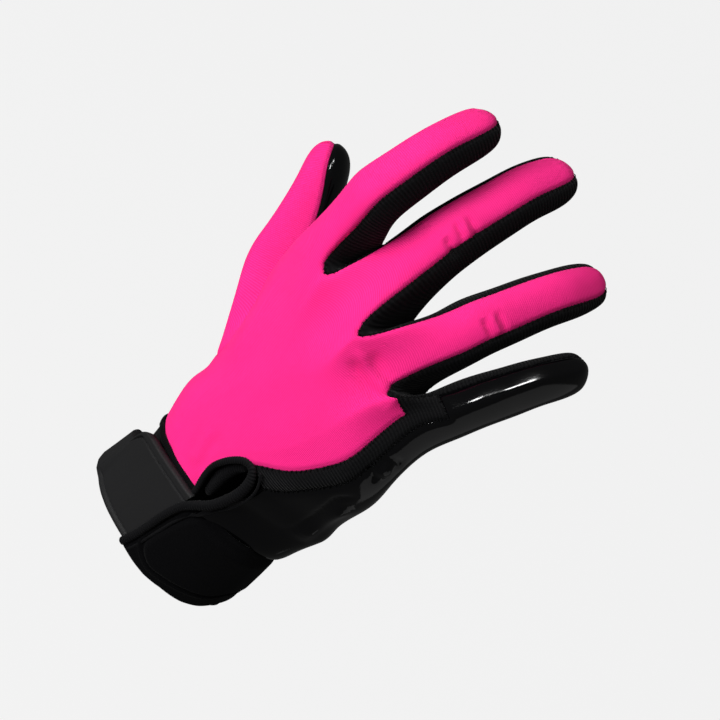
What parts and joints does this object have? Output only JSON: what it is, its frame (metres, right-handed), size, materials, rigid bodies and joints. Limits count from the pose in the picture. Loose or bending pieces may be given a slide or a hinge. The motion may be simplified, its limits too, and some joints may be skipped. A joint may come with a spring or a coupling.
{
  "type": "football receiver glove",
  "caption": "Right-hand receiver glove in its worn shape: knitted back, tacky palm, ribbed finger strips, vented wrist and strap with a moulded pull tab.",
  "frame": {"origin": "centre of the wrist opening, at the cuff's lower edge", "axes": "+Z from the wrist to the fingers, +X towards the little finger, +Y towards the palm side; the back of the hand faces -Y"},
  "size_m": [0.1241, 0.096, 0.1887],
  "materials": {
    "pink_knit": "fine ribbed stretch knit, matte",
    "grip_coating": "glossy tacky coating",
    "rib_knit": "ribbed elastic knit, matte",
    "cuff_cloth": "dense cuff cloth, matte",
    "neoprene": "cloth-faced foam, matte",
    "edge_tape": "ribbed elastic tape, matte",
    "moulded_rubber": "matte moulded rubber"
  },
  "bodies": {
    "root": {"back_panel": "pink_knit", "index_back": "pink_knit", "middle_back": "pink_knit", "ring_back": "pink_knit", "thumb_back": "pink_knit", "palm_panel": "grip_coating", "index_palm": "grip_coating", "middle_palm": "grip_coating", "ring_palm": "grip_coating", "little_wrap": "grip_coating", "thumb_palm": "grip_coating", "edge_gusset": "rib_knit", "index_middle_strip": "rib_knit", "middle_ring_strip": "rib_knit", "ring_little_strip": "rib_knit", "cuff_band": "cuff_cloth", "wrist_strap": "neoprene", "strap_binding": "edge_tape", "pull_tab": "moulded_rubber", "vent_binding": "edge_tape"}
  },
  "joints": []
}
